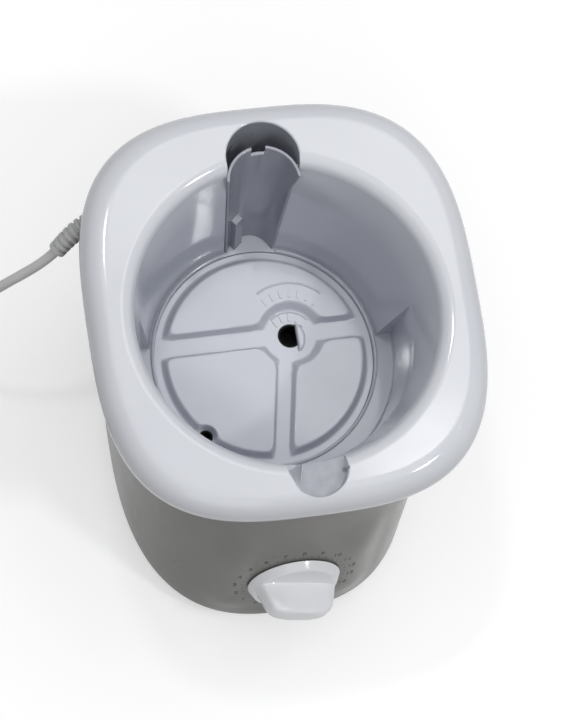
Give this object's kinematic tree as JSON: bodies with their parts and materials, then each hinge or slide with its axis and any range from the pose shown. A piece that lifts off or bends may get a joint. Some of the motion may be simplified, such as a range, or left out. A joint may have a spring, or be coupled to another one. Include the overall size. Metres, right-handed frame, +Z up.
{
  "type": "wax warmer pot",
  "caption": "White rounded-square warmer pot with a deep round well, raised floor plates, a rear chute, a front notch, a dial on a sloping face and a mains cord.",
  "frame": {"origin": "on the table under the middle of the object's box, the free cord left out", "axes": "+Z up, +X to the right seen from the dial, -Y out of the face that carries the dial"},
  "size_m": [0.3746, 0.2829, 0.187],
  "materials": {
    "white_gloss": "gloss",
    "well_gloss": "gloss",
    "knob_gloss": "gloss",
    "black_plastic": "matt",
    "grey_plastic": "matt",
    "grey_rubber": "matt",
    "cord_sheath": "satin",
    "plated_steel": "satin",
    "aluminium": "satin",
    "brass": "satin",
    "red_lead": "satin",
    "blue_lead": "satin"
  },
  "bodies": {
    "pot": {"well_housing": "white_gloss", "chute_partition": "well_gloss", "well_floor": "well_gloss", "hub_sleeve": "black_plastic", "drain_sleeve": "black_plastic", "body_shell": "white_gloss", "base_plate": "grey_plastic", "foot_front_left": "grey_rubber", "foot_front_right": "grey_rubber", "foot_rear_left": "grey_rubber", "foot_rear_right": "grey_rubber", "base_screw_front_left": "plated_steel", "base_screw_front_right": "plated_steel", "base_screw_rear_left": "plated_steel", "base_screw_rear_right": "plated_steel", "control_unit": "grey_plastic", "control_nut": "plated_steel", "heating_plate": "aluminium", "heating_element": "plated_steel", "thermal_cutout": "black_plastic", "heat_shield": "plated_steel", "terminal_block": "black_plastic", "cord_clamp": "black_plastic", "inner_cord": "cord_sheath", "control_lead": "red_lead", "heater_lead": "blue_lead", "strain_relief": "grey_rubber", "cord_lead": "cord_sheath", "cord_coil": "cord_sheath", "cord_tail": "cord_sheath", "plug_body": "cord_sheath", "plug_pin_near": "brass", "plug_pin_far": "brass"},
    "dial": {"dial_knob": "knob_gloss", "dial_shaft": "plated_steel"}
  },
  "joints": [
    {"name": "dial_turn", "type": "hinge", "parent": "pot", "child": "dial", "pos_m": [0, -0.1135, 0.063], "axis": [0, 0.9736, -0.2284], "range_deg": [-80, 199]}
  ]
}
